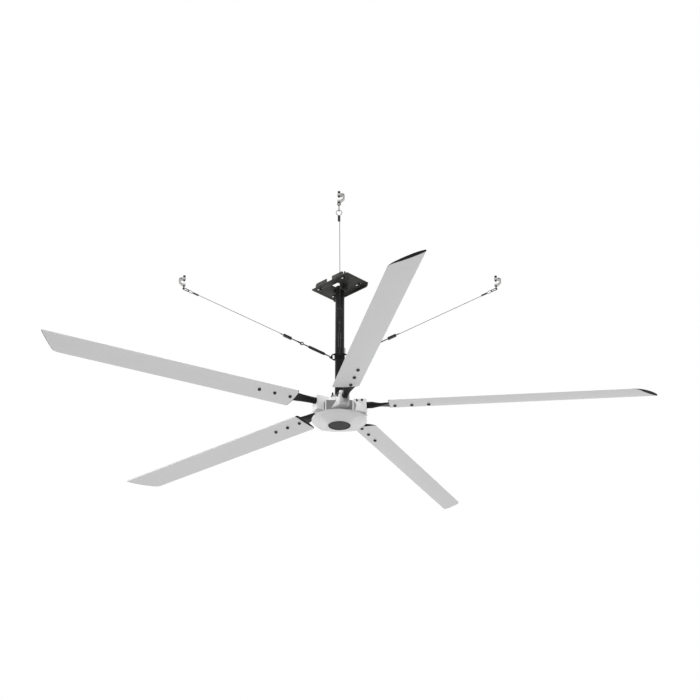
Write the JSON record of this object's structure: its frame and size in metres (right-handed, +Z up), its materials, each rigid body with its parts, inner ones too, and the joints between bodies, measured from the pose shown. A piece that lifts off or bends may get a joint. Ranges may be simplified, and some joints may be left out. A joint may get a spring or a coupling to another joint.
{
  "type": "high volume low speed fan",
  "caption": "Large slow ceiling fan: ceiling plate, rod with guy wires and beam clamps, direct drive hub, hollow airfoil blades on black arms.",
  "frame": {"origin": "centre of the top face of the ceiling plate, between its four bolts", "axes": "+Z up along the rod's axis and the rotor's axis, +X along the plate's long side"},
  "size_m": [3.9382, 4.0393, 1.156],
  "materials": {
    "plate_paint": "dark grey powder coat, satin",
    "black_paint": "black powder coat, satin",
    "black_fasteners": "black oxide steel",
    "zinc_steel": "bright zinc plated, dull",
    "wire_rope": "galvanised steel rope",
    "machined_steel": "turned and ground steel",
    "core_iron": "stacked electrical steel",
    "coil_copper": "varnished copper wire",
    "hub_paint": "white silver paint on cast aluminium",
    "cover_plastic": "white silver moulded plastic, satin",
    "badge_grey": "dark grey moulded plastic, bare",
    "blade_aluminium": "anodised extrusion, satin",
    "cap_plastic": "black moulded plastic"
  },
  "bodies": {
    "frame": {"ceiling_plate": "plate_paint", "hanger_brackets": "plate_paint", "mounting_bolts": "black_fasteners", "pivot_bolt": "black_fasteners", "down_tube": "black_paint", "foot_flange": "black_paint", "foot_bolts": "black_fasteners", "guy_ring": "black_paint", "ring_screws": "black_fasteners", "stator_shaft": "machined_steel", "stator_core": "core_iron", "stator_coils": "coil_copper", "bearing_inner_rings": "machined_steel", "shaft_nut": "black_fasteners", "guy_hooks": "black_fasteners", "guy_eyes": "black_fasteners", "wire_thimbles": "zinc_steel", "wire_loops": "wire_rope", "wire_grippers": "black_fasteners", "wire_ferrules": "zinc_steel", "oval_links": "zinc_steel", "clamp_eyebolts": "zinc_steel", "guy_wire_1": "wire_rope", "guy_wire_2": "wire_rope", "guy_wire_3": "wire_rope", "guy_wire_4": "wire_rope", "beam_clamp_1": "zinc_steel", "beam_clamp_2": "zinc_steel", "beam_clamp_3": "zinc_steel", "beam_clamp_4": "zinc_steel"},
    "rotor": {"hub_casting": "hub_paint", "top_cover": "hub_paint", "bottom_cover": "cover_plastic", "badge_plate": "badge_grey", "cover_screws": "zinc_steel", "motor_end_plate": "hub_paint", "rotor_ring": "core_iron", "rotor_magnets": "core_iron", "bearing_outer_rings": "machined_steel", "arm_bolts": "black_fasteners", "blade_end_caps": "cap_plastic", "blade_bolts": "black_fasteners", "blade_arm_1": "black_paint", "blade_arm_2": "black_paint", "blade_arm_3": "black_paint", "blade_arm_4": "black_paint", "blade_arm_5": "black_paint", "blade_1": "blade_aluminium", "blade_2": "blade_aluminium", "blade_3": "blade_aluminium", "blade_4": "blade_aluminium", "blade_5": "blade_aluminium"},
    "turnbuckle_1": {"turnbuckle_body_1": "black_fasteners"},
    "turnbuckle_2": {"turnbuckle_body_2": "black_fasteners"},
    "turnbuckle_3": {"turnbuckle_body_3": "black_fasteners"},
    "turnbuckle_4": {"turnbuckle_body_4": "black_fasteners"},
    "clamp_screw_1": {"clamp_screw_1": "zinc_steel"},
    "clamp_screw_2": {"clamp_screw_2": "zinc_steel"},
    "clamp_screw_3": {"clamp_screw_3": "zinc_steel"},
    "clamp_screw_4": {"clamp_screw_4": "zinc_steel"}
  },
  "joints": [
    {"name": "rotor_spin", "type": "hinge", "parent": "frame", "child": "rotor", "pos_m": [0, 0, -0.9315], "axis": [0, 0, 1], "continuous": true},
    {"name": "turnbuckle_1_turn", "type": "hinge", "parent": "frame", "child": "turnbuckle_1", "pos_m": [0.1121, 0.1121, -0.50715], "axis": [0.6284, 0.6284, 0.4584], "range_deg": [-180, 180]},
    {"name": "turnbuckle_2_turn", "type": "hinge", "parent": "frame", "child": "turnbuckle_2", "pos_m": [-0.1121, 0.1121, -0.50715], "axis": [-0.6284, 0.6284, 0.4584], "range_deg": [-180, 180]},
    {"name": "turnbuckle_3_turn", "type": "hinge", "parent": "frame", "child": "turnbuckle_3", "pos_m": [-0.1121, -0.1121, -0.50715], "axis": [-0.6284, -0.6284, 0.4584], "range_deg": [-180, 180]},
    {"name": "turnbuckle_4_turn", "type": "hinge", "parent": "frame", "child": "turnbuckle_4", "pos_m": [0.1121, -0.1121, -0.50715], "axis": [0.6284, -0.6284, 0.4584], "range_deg": [-180, 180]},
    {"name": "clamp_screw_1_travel", "type": "slide", "parent": "frame", "child": "clamp_screw_1", "axis": [0, 0, -1], "range_m": [-0.008, 0.009]},
    {"name": "clamp_screw_2_travel", "type": "slide", "parent": "frame", "child": "clamp_screw_2", "axis": [0, 0, -1], "range_m": [-0.008, 0.009]},
    {"name": "clamp_screw_3_travel", "type": "slide", "parent": "frame", "child": "clamp_screw_3", "axis": [0, 0, -1], "range_m": [-0.008, 0.009]},
    {"name": "clamp_screw_4_travel", "type": "slide", "parent": "frame", "child": "clamp_screw_4", "axis": [0, 0, -1], "range_m": [-0.008, 0.009]}
  ]
}
